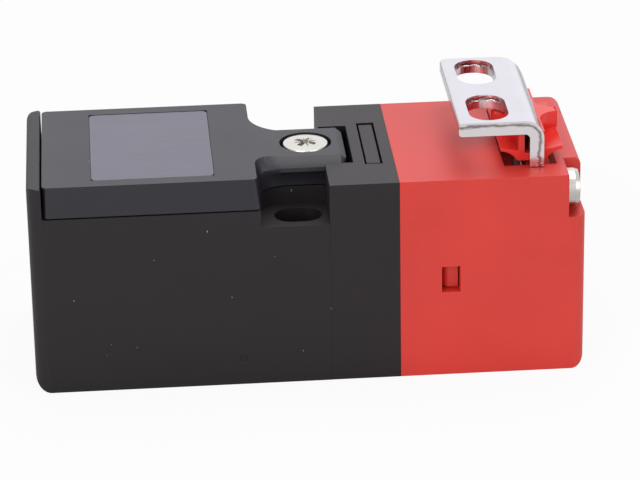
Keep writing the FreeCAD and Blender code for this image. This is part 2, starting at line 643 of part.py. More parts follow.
def terminal_screws():
    """Terminal screws, each with its captive saddle washer."""
    z = BLOCK_TOP + STRIP
    screws = []
    for x, y in terminal_places():
        washer = slab(x - 2.3, x + 2.3, y - 1.9, y + 1.9, z, z + 0.8)
        for end in (x - 2.3, x + 2.3):
            washer = washer.cut(slab(end - 0.6, end + 0.6, y - 3, y + 3, z - 1, z + 0.3))
        screws.append(washer.fuse(screw_z(x, y, z + 0.8, 2.1, 1.6, 1.2, 6.5)))
    return group(screws)


def head_seal():
    """Square seal between collar and head; it fits in all four positions of the head."""
    return seal_frame(HEAD_X - 0.8, HEAD_X, 0)


# ---------------------------------------------------------------- actuator
FLANGE_X = 60.45                # free edge of the flange
FLANGE_Y = (-11.7, 13.9)
FLANGE_TOP = 37.05
LEG_Y = (-11.7, 10.8)
SHOULDER_Z = 30.15
TONGUE_Y = 7.8
TONGUE_WINDOW_Y = 5.5
BRACKET_SLOT_R = 2.8
BRACKET_SLOT_LENGTH = 9.7
BRACKET_SLOT_SPACING = 14.0
BRACKET_SLOT_X = 65.05


def actuator_bracket():
    out_x = TONGUE_X + SHEET / 2
    in_x = TONGUE_X - SHEET / 2
    under = FLANGE_TOP - SHEET
    angle = side([(FLANGE_X, under, 0.5), (in_x, under, 0.7), (in_x, SHOULDER_Z, 0), (out_x, SHOULDER_Z, 0),
                  (out_x, FLANGE_TOP, 2.7), (FLANGE_X, FLANGE_TOP, 0.5)], *FLANGE_Y)
    blank = plan([(FLANGE_X - 1, FLANGE_Y[0], 0), (out_x + 0.1, FLANGE_Y[0], 0),
                  (out_x + 0.1, FLANGE_Y[1], 4.6), (FLANGE_X, FLANGE_Y[1], 1.2),
                  (FLANGE_X - 1, FLANGE_Y[1] - 6, 0)], SHOULDER_Z - 1, FLANGE_TOP + 1)
    body = angle.common(blank)
    body = body.cut(slab(in_x - 0.7, out_x + 1, LEG_Y[1], HALF, SHOULDER_Z - 1, under - 0.05))
    # tongue below the shoulders, with the window that leaves a bar at its tip
    bar_z = AXIS_Z + (TONGUE_X - CAM_X) * math.tan(CATCH_ANGLE)
    low = bar_z - BAR_HEIGHT / 2
    tongue = front([(-TONGUE_Y, low, 1.6), (TONGUE_Y, low, 1.6), (TONGUE_Y, SHOULDER_Z + 0.2, 0),
                    (-TONGUE_Y, SHOULDER_Z + 0.2, 0)], in_x, out_x)
    window = front([(-TONGUE_WINDOW_Y, low + BAR_HEIGHT, 0.8), (TONGUE_WINDOW_Y, low + BAR_HEIGHT, 0.8),
                    (TONGUE_WINDOW_Y, 27.0, 0.8), (-TONGUE_WINDOW_Y, 27.0, 0.8)], in_x - 1, out_x + 1)
    body = body.fuse(tongue).cut(window)
    # opening in the leg for the guide's peg
    middle, (half, low, high) = sum(GUIDE_Y) / 2, GUIDE_PEG
    body = body.cut(slab(in_x - 1, out_x + 1, middle - half - 0.1, middle + half + 0.1, low - 0.1, high + 0.1))
    middle = sum(FLANGE_Y) / 2
    half = BRACKET_SLOT_LENGTH / 2
    for y in (middle - BRACKET_SLOT_SPACING / 2, middle + BRACKET_SLOT_SPACING / 2):
        r = BRACKET_SLOT_R
        hole = plan([(BRACKET_SLOT_X - r, y - half, r - 0.01), (BRACKET_SLOT_X + r, y - half, r - 0.01),
                     (BRACKET_SLOT_X + r, y + half, r - 0.01), (BRACKET_SLOT_X - r, y + half, r - 0.01)],
                    under - 1, FLANGE_TOP + 1)
        body = body.cut(hole)
    return body.removeSplitter()


GUIDE_X = 70.9                  # middle of the moulded guide, over the slot
GUIDE_HALF = 4.35
GUIDE_Y = (-10.1, 6.6)
GUIDE_LOW = 30.5
GUIDE_LIP = 32.0
GUIDE_TOP = 34.75
GUIDE_FIN = 1.85                # half thickness of the fin along the leg
GUIDE_WING = 0.8                # half thickness of the wings across it
GUIDE_PEG = (2.0, 31.3, 33.3)   # half width, z from, z to of the peg through the leg


def guide_cross(z0, z1):
    """Fin along the leg and wings across it, joined by wide fillets."""
    middle, half = sum(GUIDE_Y) / 2, (GUIDE_Y[1] - GUIDE_Y[0]) / 2
    quarter = [(GUIDE_FIN, half, 0), (GUIDE_FIN, GUIDE_WING, 2.8), (GUIDE_HALF, GUIDE_WING, 0)]
    corners = quarter + [(x, -y, r) for x, y, r in reversed(quarter)]
    corners += [(-x, -y, r) for x, y, r in quarter] + [(-x, y, r) for x, y, r in reversed(quarter)]
    return plan([(GUIDE_X + x, middle + y, r) for x, y, r in corners], z0, z1)


def actuator_guide():
    body = slab(GUIDE_X - GUIDE_HALF, GUIDE_X + GUIDE_HALF, GUIDE_Y[0], GUIDE_Y[1], GUIDE_LOW, GUIDE_LIP)
    body = body.fuse(guide_cross(GUIDE_LIP - 0.3, GUIDE_TOP))
    # arched underside: the middle web comes down to the slot, the wings stand clear
    for sx in (-1, 1):
        body = body.cut(rod_y(-HALF, HALF, GUIDE_X + sx * 3.9, GUIDE_LOW - 1.3, 2.3))
    # slot for the leg, wider over the lip, and the peg that holds the two halves together
    in_x, out_x = TONGUE_X - SHEET / 2, TONGUE_X + SHEET / 2
    body = body.cut(slab(in_x, out_x, -HALF, HALF, GUIDE_LOW - 1, GUIDE_TOP + 1))
    body = body.cut(slab(in_x - 0.55, in_x, -HALF, HALF, GUIDE_LIP - 0.4, GUIDE_TOP + 1))
    middle, (half, low, high) = sum(GUIDE_Y) / 2, GUIDE_PEG
    peg = slab(in_x - 0.8, out_x + 0.1, middle - half, middle + half, low, high)
    return body.fuse(peg).removeSplitter()


# ---------------------------------------------------------------- write every piece
PIECES = [base_housing, collar, collar_insert, head_housing, cover, label_plate, cover_screw,
          cover_gasket, collar_screws, head_screws, head_seal, plunger_seal, cam_cradle, cam_axle,
          cam_wheel, plunger, return_spring, contact_carrier, nc_bridge, no_bridge, contact_block,
          nc_contacts, no_contacts, block_lid, block_screws, terminal_screws, actuator_bracket,
          actuator_guide]

for piece in PIECES:
    shape = piece()
    print(f"{piece.__name__:18s} solids {len(shape.Solids)}  volume {shape.Volume:9.1f}  valid {shape.isValid()}")
    export(piece.__name__, shape)
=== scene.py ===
# %% [markdown]
# # A tongue interlock switch
# A safety switch for a guard door: a black housing with its wiring space under a screwed cover,
# a red head with two entry slots, and an angled plated tongue with a red guide that the door
# carries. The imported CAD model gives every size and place. These cells add what CAD leaves out:
# rounded mould edges, screws with driver recesses, the cable entry's thread, and the finishes.

# %% Load the frame
import bmesh
import bpy
import json
import math
from mathutils import Matrix, Vector


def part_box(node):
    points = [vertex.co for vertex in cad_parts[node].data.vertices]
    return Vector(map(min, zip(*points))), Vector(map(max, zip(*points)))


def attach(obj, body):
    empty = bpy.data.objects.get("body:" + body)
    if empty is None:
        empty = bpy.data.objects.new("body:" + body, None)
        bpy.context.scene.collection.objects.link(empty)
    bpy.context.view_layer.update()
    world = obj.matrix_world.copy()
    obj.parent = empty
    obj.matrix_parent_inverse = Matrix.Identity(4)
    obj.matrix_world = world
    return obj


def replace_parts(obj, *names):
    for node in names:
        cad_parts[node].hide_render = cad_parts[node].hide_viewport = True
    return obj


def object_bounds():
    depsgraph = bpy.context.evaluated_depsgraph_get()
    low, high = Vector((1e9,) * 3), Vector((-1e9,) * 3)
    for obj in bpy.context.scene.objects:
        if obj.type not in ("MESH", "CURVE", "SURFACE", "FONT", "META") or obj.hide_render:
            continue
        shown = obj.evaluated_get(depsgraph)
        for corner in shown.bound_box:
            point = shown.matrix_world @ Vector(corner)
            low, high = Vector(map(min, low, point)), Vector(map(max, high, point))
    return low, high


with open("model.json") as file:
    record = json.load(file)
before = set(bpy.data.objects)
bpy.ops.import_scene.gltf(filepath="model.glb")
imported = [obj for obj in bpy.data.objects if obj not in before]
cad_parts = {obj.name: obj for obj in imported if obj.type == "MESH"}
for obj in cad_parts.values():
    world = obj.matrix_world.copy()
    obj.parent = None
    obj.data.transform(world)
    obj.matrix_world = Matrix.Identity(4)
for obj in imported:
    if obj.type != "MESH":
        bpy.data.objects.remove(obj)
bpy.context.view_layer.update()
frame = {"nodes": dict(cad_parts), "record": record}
MM = 0.001
slot_of = {part["node"]: part["material_slot"] for part in frame["record"]["subparts"]}
body_of = {node: body for body, nodes in frame["record"]["behaviour"]["bodies"].items() for node in nodes}

# %% [markdown]
# ## Node helpers
# Shader trees and geometry trees are both lists of nodes whose sockets are either joined or
# given a value. One small function does both, so that every later cell shows only what is
# joined to what.

# %% Add a node with its inputs
def add(tree, kind, inputs=None, **settings):
    """New node: settings are its properties; an input that is a socket is linked, else it is a value."""
    node = tree.nodes.new(kind)
    for key, value in settings.items():
        setattr(node, key, value)
    for key, value in (inputs or {}).items():
        if isinstance(value, bpy.types.NodeSocket):
            tree.links.new(value, node.inputs[key])
        else:
            node.inputs[key].default_value = value
    return node


def calc(tree, operation, *values):
    """Output of a Math node with these one or two inputs."""
    return add(tree, "ShaderNodeMath", dict(enumerate(values)), operation=operation).outputs[0]


def scaled(tree, value, low, high):
    """A 0 to 1 value spread over low to high."""
    inputs = {"Value": value, "To Min": low, "To Max": high}
    return add(tree, "ShaderNodeMapRange", inputs).outputs["Result"]


def weighed(tree, first, share, second):
    """Mean of two values in which the first has this share."""
    return calc(tree, "ADD", calc(tree, "MULTIPLY", first, share), calc(tree, "MULTIPLY", second, 1 - share))


# %% [markdown]
# ## Finishes
# Every finish starts from a Principled shader and a pattern read in Object coordinates, which
# are metres here, so a grain size can be given as it would be on a drawing. A noise texture
# whose scale is one over the grain size has one lump per grain. Coordinates that are
# multiplied by less than 1 along an axis draw the pattern out along it.

# %% Start a finish
finishes = {}


def start_finish(slot, colour, roughness, metallic=0.0, ior=1.5):
    """New material for a slot. Returns its tree, its shader and the Object coordinates."""
    material = bpy.data.materials.new(slot)
    material.use_nodes = True
    tree = material.node_tree
    shader = tree.nodes["Principled BSDF"]
    shader.inputs["Base Color"].default_value = (*colour, 1)
    shader.inputs["Roughness"].default_value = roughness
    shader.inputs["Metallic"].default_value = metallic
    shader.inputs["IOR"].default_value = ior
    finishes[slot] = material
    return tree, shader, add(tree, "ShaderNodeTexCoord").outputs["Object"]


def grain(tree, where, size, detail=2.0):
    """Noise with lumps of that size in metres."""
    inputs = {"Vector": where, "Scale": 1 / size, "Detail": detail}
    return add(tree, "ShaderNodeTexNoise", inputs).outputs["Fac"]


def drawn_out(tree, where, factors):
    """Coordinates multiplied along each axis."""
    return add(tree, "ShaderNodeMapping", {"Vector": where, "Scale": factors}).outputs[0]


def mixed(tree, amount, first, second):
    """Colour from first to second as amount goes from 0 to 1; each of them is a colour or a socket."""
    ends = {"A": first, "B": second}
    for side, colour in ends.items():
        if not isinstance(colour, bpy.types.NodeSocket):
            ends[side] = (*colour, 1)
    return add(tree, "ShaderNodeMix", {"Factor": amount, **ends}, data_type="RGBA").outputs["Result"]


def tint(tree, shader, amount, first, second):
    """Makes that mixed colour the base colour, and returns it."""
    colour = mixed(tree, amount, first, second)
    tree.links.new(colour, shader.inputs["Base Color"])
    return colour


def shade(colour, factor):
    """The same colour, lighter or darker."""
    return tuple(min(part * factor, 1) for part in colour)


def emboss(tree, shader, height, depth):
    """Bump of that depth in metres, on top of any bump that the shader has already."""
    bump = add(tree, "ShaderNodeBump", {"Height": height, "Distance": depth})
    for link in list(shader.inputs["Normal"].links):
        tree.links.new(link.from_socket, bump.inputs["Normal"])
    tree.links.new(bump.outputs["Normal"], shader.inputs["Normal"])


# %% [markdown]
# ## Lint
# Fine lint sticks to a textured surface. A cell pattern divides space into small cells, each
# with a random colour. The colour decides whether a cell holds a speck at its centre and how
# large the speck is, so thousands of them cost one texture and no mesh. Multiplying a random
# value by an odd number and keeping what follows the point gives a new random value.

# %% Lint
LINT_SPACING, LINT_STRETCH = 1.6 * MM, (1.0, 1.0, 0.55)
LINT_SHARE, LINT_COVER, LINT_COLOUR = 0.30, 0.45, (0.45, 0.44, 0.43)
LINT_SMALL, LINT_LARGE = 0.4, 1.3


def scatter_lint(tree, shader, where, plain, size):
    """Specks over the plain colour; size is a share of the spacing."""
    cells = add(tree, "ShaderNodeTexVoronoi", {
        "Vector": drawn_out(tree, where, LINT_STRETCH), "Scale": 1 / LINT_SPACING})
    lot = calc(tree, "FRACT", calc(tree, "MULTIPLY", cells.outputs["Color"], 7.3))
    next_lot = calc(tree, "FRACT", calc(tree, "MULTIPLY", lot, 31.7))
    own_size = scaled(tree, next_lot, LINT_SMALL * size, LINT_LARGE * size)
    inside = calc(tree, "LESS_THAN", cells.outputs["Distance"], own_size)
    speck = calc(tree, "MULTIPLY", inside, calc(tree, "GREATER_THAN", lot, 1 - LINT_SHARE))
    tint(tree, shader, calc(tree, "MULTIPLY", speck, LINT_COVER), plain, LINT_COLOUR)


# %% [markdown]
# ## Moulded plastics
# The housing is glass-filled plastic from a spark-eroded mould: a fine, even grain of about
# 0.2 mm that scatters light, so the black looks grey where it mirrors the room at a flat
# angle. The base colour itself is nearly black. Broad patches differ a little in gloss from
# handling. One function makes every plastic, because they differ only in these few values.

# %% Textured plastics
PATCH = 14 * MM


def moulded_plastic(slot, colour, gloss, texture=0.22 * MM, depth=0.010 * MM, lint=0.0, ior=1.45):
    """Matt moulded plastic; gloss is its lowest and highest roughness, lint the size of its specks."""
    tree, shader, where = start_finish(slot, colour, gloss[0], ior=ior)
    patches = grain(tree, where, PATCH, 3)
    fine = grain(tree, where, texture, 3)
    tree.links.new(scaled(tree, weighed(tree, patches, 0.6, fine), *gloss), shader.inputs["Roughness"])
    plain = tint(tree, shader, patches, shade(colour, 0.86), shade(colour, 1.14))
    emboss(tree, shader, fine, depth)
    if lint:
        scatter_lint(tree, shader, where, plain, lint)


moulded_plastic("black_body", (0.0125, 0.0092, 0.0115), (0.42, 0.58), lint=0.055, ior=1.40)
moulded_plastic("black_cover", (0.0060, 0.0045, 0.0100), (0.38, 0.54), lint=0.055, ior=1.51)
moulded_plastic("red_plastic", (0.68, 0.043, 0.032), (0.36, 0.50), depth=0.006 * MM, lint=0.02)
moulded_plastic("red_guide", (0.84, 0.034, 0.024), (0.20, 0.34), depth=0.003 * MM)
moulded_plastic("white_plastic", (0.74, 0.73, 0.68), (0.34, 0.46), depth=0.003 * MM)
moulded_plastic("grey_plastic", (0.36, 0.37, 0.38), (0.38, 0.52), depth=0.004 * MM)
print("plastics:", sorted(finishes))

# %% [markdown]
# ## The gate mark
# The base is filled through one small round gate low on its front side. What is left of it is
# a shallow groove in a ring 1 mm across. It is too fine to be worth a mesh, so it is drawn in
# the finish of the base by the distance from its centre in X and Z, near the front only. A bump
# gives the groove its relief, and a nearly black colour in the ring is painted shade for the dark inside the
# groove.

# %% Gate mark
base_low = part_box("base_housing")[0]
GATE_X, GATE_Z, GATE_REACH_Y = -8.35 * MM, base_low.z + 4.1 * MM, base_low.y + 1 * MM
GROOVE_R, GROOVE_HALF, GROOVE_DEPTH = 0.42 * MM, 0.12 * MM, 0.15 * MM
tree = finishes["black_body"].node_tree
shader = tree.nodes["Principled BSDF"]
spot = add(tree, "ShaderNodeSeparateXYZ", {"Vector": add(tree, "ShaderNodeTexCoord").outputs["Object"]})
along, up = (calc(tree, "SUBTRACT", spot.outputs[axis], centre)
             for axis, centre in (("X", GATE_X), ("Z", GATE_Z)))
across = calc(tree, "SQRT", calc(tree, "ADD", *(calc(tree, "MULTIPLY", d, d) for d in (along, up))))
off_ring = calc(tree, "ABSOLUTE", calc(tree, "SUBTRACT", across, GROOVE_R))
groove_relief_and_shade = calc(tree, "MULTIPLY", calc(tree, "LESS_THAN", off_ring, GROOVE_HALF),
              calc(tree, "LESS_THAN", spot.outputs["Y"], GATE_REACH_Y))
# The ring is painted nearly black: painted shade for the shadow inside the groove, on top of its bump.
tint(tree, shader, groove_relief_and_shade, shader.inputs["Base Color"].links[0].from_socket, (0.004, 0.004, 0.004))
emboss(tree, shader, calc(tree, "SUBTRACT", 1.0, groove_relief_and_shade), GROOVE_DEPTH)
print(f"gate mark at x {GATE_X / MM:.2f} mm, z {GATE_Z / MM:.2f} mm")

# %% [markdown]
# ## The label's film
# The field on the cover is left blank. It is a smooth printed film, greyer and a little bluer
# than the cover, with faint streaks along X from its ink roller and almost no relief.

# %% Blank label film
INK_THIN, INK_THICK = (0.090, 0.086, 0.123), (0.116, 0.110, 0.154)
tree, shader, where = start_finish("label_grey", INK_THIN, 0.34)
streaks = grain(tree, drawn_out(tree, where, (0.18, 1.0, 1.0)), 1.1 * MM, 4)
tint(tree, shader, streaks, INK_THIN, INK_THICK)
tree.links.new(scaled(tree, grain(tree, where, 9 * MM), 0.30, 0.40), shader.inputs["Roughness"])
emboss(tree, shader, streaks, 0.002 * MM)
print("label film:", len(tree.nodes), "nodes")

# %% [markdown]
# ## Metals
# A metal is mostly what it mirrors, so its finish is in its roughness and in tiny scratches.
# Noise that is squeezed across one direction gives lines along the other: rolling lines on
# sheet, turning lines on a pin.

# %% Worked metals
def metal(slot, colour, gloss, line=(1, 1, 1), size=0.3 * MM, depth=0.001 * MM):
    """Metal with lines; line stretches the pattern along each axis."""
    tree, shader, where = start_finish(slot, colour, gloss[0], metallic=1.0)
    lines = grain(tree, drawn_out(tree, where, tuple(1 / s for s in line)), size, 4)
    clouds = grain(tree, where, 6 * MM, 3)
    tree.links.new(scaled(tree, weighed(tree, lines, 0.5, clouds), *gloss), shader.inputs["Roughness"])
    tint(tree, shader, clouds, shade(colour, 0.93), shade(colour, 1.05))
    emboss(tree, shader, lines, depth)
    return tree, shader, where


metal("zinc_steel", (0.54, 0.53, 0.49), (0.16, 0.42), size=0.25 * MM, depth=0.004 * MM)
metal("steel_axle", (0.60, 0.60, 0.61), (0.15, 0.30), line=(1, 10, 1))
metal("spring_steel", (0.52, 0.52, 0.54), (0.25, 0.40))
metal("cam_zinc", (0.58, 0.59, 0.61), (0.38, 0.60), size=0.5 * MM, depth=0.006 * MM)
metal("brass", (0.78, 0.58, 0.26), (0.20, 0.38), line=(1, 8, 1))
print("finishes so far:", sorted(finishes))

# %% [markdown]
# ## The punched sheet
# The tongue is punched from nickel-plated sheet and then bent. Its punched edges show two
# zones that follow the bend, so the finish has to know how deep a point lies under the outer
# face. That is the distance formula of a rounded corner, in the plane of X and Z, and it needs
# only the bracket's box and the radius of its bend.

# %% Depth under the sheet's outer face
BEND_R = 2.7 * MM
tree, shader, where = metal("plated_sheet", (0.56, 0.545, 0.575), (0.12, 0.30), line=(1, 12, 4))
bracket_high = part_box("actuator_bracket")[1]
bend_x, bend_z = bracket_high.x - BEND_R, bracket_high.z - BEND_R
spot = add(tree, "ShaderNodeSeparateXYZ", {"Vector": where})
past_x = calc(tree, "SUBTRACT", spot.outputs["X"], bend_x)
past_z = calc(tree, "SUBTRACT", spot.outputs["Z"], bend_z)
corner = add(tree, "ShaderNodeCombineXYZ", {
    "X": calc(tree, "MAXIMUM", past_x, 0.0), "Z": calc(tree, "MAXIMUM", past_z, 0.0)})
round_part = add(tree, "ShaderNodeVectorMath", {0: corner.outputs[0]}, operation="LENGTH").outputs["Value"]
flat_part = calc(tree, "MINIMUM", calc(tree, "MAXIMUM", past_x, past_z), 0.0)
under = calc(tree, "SUBTRACT", BEND_R, calc(tree, "ADD", round_part, flat_part))
print(f"bend about x {bend_x / MM:.2f} mm, z {bend_z / MM:.2f} mm")

# %% [markdown]
# Near the outer face runs a thin torn line, dark and streaky, where the sheet broke off. Below
# it is the smooth zone where the punch slid. Edges are told from faces by their normal, which
# lies along Y on the long edges.

# %% Torn line and smooth zone
TORN_DEPTH, TORN_WANDER, TORN_CORE, TORN_HALF = 0.62 * MM, 1.0 * MM, 0.05 * MM, 0.32 * MM
TORN, SMOOTH = (0.25, 0.23, 0.23), (0.78, 0.73, 0.74)
streaks = grain(tree, drawn_out(tree, where, (0.20, 1.0, 0.45)), 0.35 * MM, 4)
wander = calc(tree, "MULTIPLY", calc(tree, "SUBTRACT", streaks, 0.5), TORN_WANDER)
off_line = calc(tree, "ABSOLUTE", calc(tree, "SUBTRACT", calc(tree, "ADD", under, wander), TORN_DEPTH))
smooth_zone = add(tree, "ShaderNodeMapRange", {
    "Value": off_line, "From Min": TORN_CORE, "From Max": TORN_HALF}).outputs["Result"]
facing = add(tree, "ShaderNodeSeparateXYZ", {"Vector": add(tree, "ShaderNodeTexCoord").outputs["Normal"]})
on_edge = calc(tree, "GREATER_THAN", calc(tree, "ABSOLUTE", facing.outputs["Y"]), 0.6)
face_colour = shader.inputs["Base Color"].links[0].from_socket
tint(tree, shader, on_edge, face_colour, mixed(tree, smooth_zone, TORN, SMOOTH))
emboss(tree, shader, calc(tree, "MULTIPLY", smooth_zone, on_edge), 0.05 * MM)
print("plated sheet:", len(tree.nodes), "nodes")

# %% [markdown]
# ## Rubber
# The gasket and the seals are moulded rubber, dull and nearly black. A bloom of wax comes to
# the surface in soft patches, so both the colour and the roughness follow one noise.

# %% Rubber
tree, shader, where = start_finish("rubber_black", (0.018, 0.018, 0.019), 0.62, ior=1.45)
bloom = grain(tree, where, 2.5 * MM, 4)
tint(tree, shader, bloom, (0.014, 0.014, 0.015), (0.026, 0.026, 0.028))
tree.links.new(scaled(tree, bloom, 0.52, 0.70), shader.inputs["Roughness"])
emboss(tree, shader, grain(tree, where, 0.3 * MM), 0.004 * MM)
print("rubber:", len(tree.nodes), "nodes")

# %% [markdown]
# ## Finishes on the CAD nodes
# The record names one material slot for each node. Each node gets that finish, and so do the
# pieces further down that stand for it.

# %% Give every node its finish
for name, node in frame["nodes"].items():
    node.data.materials.clear()
    node.data.materials.append(finishes[slot_of[name]])
print("finishes:", len(finishes), "on", len(frame["nodes"]), "nodes")

# %% [markdown]
# ## Rounded mould edges
# No moulded or sheared edge is perfectly sharp, and the thin light line along it is what makes
# a corner look solid. The CAD triangles are merged, the flat ones are joined into single
# faces, and a Bevel modifier rounds what is left where two faces meet at more than 30 degrees.

# %% Bevelled copies of the outer pieces
MERGE, FLAT, SHARP = 0.002 * MM, math.radians(0.8), math.radians(30)


def join_flats(mesh, rework=None):
    """Merged mesh whose flat areas are single faces, with its sharp edges marked."""
    work = bmesh.new()
    work.from_mesh(mesh)
    bmesh.ops.remove_doubles(work, verts=work.verts, dist=MERGE)
    bmesh.ops.dissolve_limit(work, angle_limit=FLAT, verts=work.verts, edges=work.edges)
    bmesh.ops.recalc_face_normals(work, faces=work.faces)
    if rework:
        rework(work)
    for face in work.faces:
        face.smooth = True
    for edge in work.edges:
        edge.smooth = edge.is_manifold and edge.calc_face_angle(0) < SHARP
    joined = bpy.data.meshes.new(mesh.name + "_joined")
    work.to_mesh(joined)
    work.free()
    return joined


def place(name, mesh, body, slot):
    """Puts a finished mesh in the scene, riding on its body, in its slot's finish."""
    piece = bpy.data.objects.new(name, mesh)
    bpy.context.scene.collection.objects.link(piece)
    if not mesh.materials:
        mesh.materials.append(finishes[slot])
    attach(piece, body)
    return piece


def soften(node, width, segments=2, rework=None):
    """Bevelled copy that stands for a CAD node; rework may reshape it first."""
    mesh = join_flats(frame["nodes"][node].data, rework)
    piece = place(node + "_softened", mesh, body_of[node], slot_of[node])
    bevel = piece.modifiers.new("rounded edges", "BEVEL")
    bevel.width = width
    bevel.segments = segments
    bevel.limit_method = "ANGLE"
    bevel.angle_limit = SHARP
    bevel.harden_normals = True
    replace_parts(piece, node)
    print(f"{node}: {len(mesh.polygons)} faces, edges rounded {width / MM:.2f} mm")


soften("base_housing", 0.14 * MM)
soften("collar", 0.16 * MM)
soften("collar_insert", 0.12 * MM)
soften("head_housing", 0.22 * MM)
soften("actuator_bracket", 0.30 * MM, 3)

# %% [markdown]
# ## The cover's neck
# The neck's sides stand nearly upright and roll over to the top in one soft curve, which the
# plain CAD slope only stands for. The copy is cut at a few heights, and the points on each cut
# move out along Y by a parabola, most at half height. A point at the rounded root moves by as
# much as its surface faces Y. The seat of the screw is opened to its real width as well.

# %% Cover with rolled neck
CUTS, ON_CUT = (0.40, 0.55, 0.70, 0.84), 1e-6
NECK_HEIGHT, NECK_BULGE, NECK_REACH_X = 3.75 * MM, 0.66 * MM, 8 * MM
NECK_IN_Y, NECK_OUT_Y = 4.5 * MM, 11 * MM
SEAT_CAD_R, SEAT_R, ON_SEAT = 3.45 * MM, 3.72 * MM, 0.03 * MM
screw_low, screw_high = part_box("cover_screw")
screw_x, screw_y = ((screw_low + screw_high) / 2).xy
cover_low, cover_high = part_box("cover")


def roll_neck(work):
    """Bulges the neck's sides and widens the screw's seat."""
    for share in CUTS:
        z = cover_low.z + share * NECK_HEIGHT
        everything = work.verts[:] + work.edges[:] + work.faces[:]
        bmesh.ops.bisect_plane(work, geom=everything, dist=ON_CUT, plane_co=(0, 0, z), plane_no=(0, 0, 1))
        work.normal_update()
        bulge = NECK_BULGE * 4 * share * (1 - share)
        for vert in work.verts:
            on_cut = abs(vert.co.z - z) < ON_CUT and vert.co.x > screw_x - NECK_REACH_X
            if on_cut and NECK_IN_Y < abs(vert.co.y) < NECK_OUT_Y:
                flat = vert.normal.xy
                facing = flat.y ** 2 / max(flat.length_squared, 1e-9)
                vert.co.y += math.copysign(bulge * facing, vert.co.y)
    for vert in work.verts:
        reach = math.hypot(vert.co.x - screw_x, vert.co.y - screw_y)
        if abs(reach - SEAT_CAD_R) < ON_SEAT:
            vert.co.x = screw_x + (vert.co.x - screw_x) * SEAT_R / reach
            vert.co.y = screw_y + (vert.co.y - screw_y) * SEAT_R / reach


soften("cover", 0.25 * MM, rework=roll_neck)

# %% [markdown]
# ## The label's shape
# The film lies almost flush with the cover and its corners are rounded. The copy's top is
# lifted to just under the cover's top, and its four upright edges are bevelled in the mesh,
# because the modifier that follows rounds every edge by one width.

# %% Flush label with rounded corners
LABEL_SUNK, LABEL_CORNER = 0.05 * MM, 0.9 * MM


def lift_label(work):
    """Raises the film and rounds its corners."""
    middle_z = sum(vert.co.z for vert in work.verts) / len(work.verts)
    for vert in work.verts:
        if vert.co.z > middle_z:
            vert.co.z = cover_high.z - LABEL_SUNK
    upright = [edge for edge in work.edges if abs(edge.verts[0].co.z - edge.verts[1].co.z) > 0.1 * MM]
    bmesh.ops.bevel(work, geom=upright, offset=LABEL_CORNER, segments=6, profile=0.5, affect="EDGES")


soften("label_plate", 0.03 * MM, 1, rework=lift_label)

# %% [markdown]
# ## The guide's lip
# The lip that rests on the head's slot curls up a little towards both ends, where the CAD lip
# is flat. Points of the copy that lie in the lip rise by a share of their distance from the
# middle web, which keeps the lip's outline and thickness.

# %% Guide with curled lip
guide_low, guide_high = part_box("actuator_guide")
guide_x = (guide_low.x + guide_high.x) / 2
LIP_THICK, LIP_CURL, WEB_HALF = 1.5 * MM, 0.22, 2.0 * MM
lip_from, lip_to = guide_low.z + 0.1 * MM, guide_low.z + LIP_THICK + 0.05 * MM


def curl_lip(work):
    """Lifts the lip by a share of its distance from the middle web."""
    for vert in work.verts:
        out = abs(vert.co.x - guide_x) - WEB_HALF
        if out > 0 and lip_from < vert.co.z < lip_to:
            vert.co.z += LIP_CURL * out


soften("actuator_guide", 0.18 * MM, rework=curl_lip)

# %% [markdown]
# ## Trees that make parts
# A geometry tree takes its sizes as inputs, so one tree can make every screw. Three helpers
# frame that: one starts a tree with named inputs, one ends it with real instances and a
# finish, and one runs it on a few points and keeps the plain mesh, which can then be
# replaced, ridden and exported like any other.

# %% Helpers for geometry trees
def new_tree(name, sizes):
    """Geometry tree with named inputs. Returns the tree and the sockets that carry them."""
    tree = bpy.data.node_groups.new(name, "GeometryNodeTree")
    tree.interface.new_socket("Geometry", in_out="INPUT", socket_type="NodeSocketGeometry")
    tree.interface.new_socket("Geometry", in_out="OUTPUT", socket_type="NodeSocketGeometry")
    for label, kind in sizes.items():
        tree.interface.new_socket(label, in_out="INPUT", socket_type=kind)
    return tree, tree.nodes.new("NodeGroupInput").outputs


def close_tree(tree, geometry):
    """Ends a tree: instances made real, then the finish."""
    real = add(tree, "GeometryNodeRealizeInstances", {"Geometry": geometry})
    finish = tree.nodes["Group Input"].outputs["Finish"]
    done = add(tree, "GeometryNodeSetMaterial", {"Geometry": real.outputs[0], "Material": finish})
    tree.links.new(done.outputs[0], tree.nodes.new("NodeGroupOutput").inputs["Geometry"])


def apply_tree(name, points, tree, values):
    """Runs a tree on a mesh of points and returns the plain mesh that it makes."""
    seeds = bpy.data.meshes.new(name)
    seeds.from_pydata([tuple(p) for p in points], [], [])
    holder = bpy.data.objects.new(name, seeds)
    bpy.context.scene.collection.objects.link(holder)
    modifier = holder.modifiers.new("tree", "NODES")
    modifier.node_group = tree
    for item in tree.interface.items_tree:
        if item.in_out == "INPUT" and item.name in values:
            modifier[item.identifier] = values[item.name]
    graph = bpy.context.evaluated_depsgraph_get()
    mesh = bpy.data.meshes.new_from_object(holder.evaluated_get(graph), depsgraph=graph)
    bpy.data.objects.remove(holder)
    return mesh


# %% [markdown]
# ## Screws
# Every screw on the switch is a pan head with a cross recess. The head starts as a drum. Its
# rim falls like a quarter circle and its middle like a shallow dome, which is done by moving
# the drum's upper points down by the larger of the two.

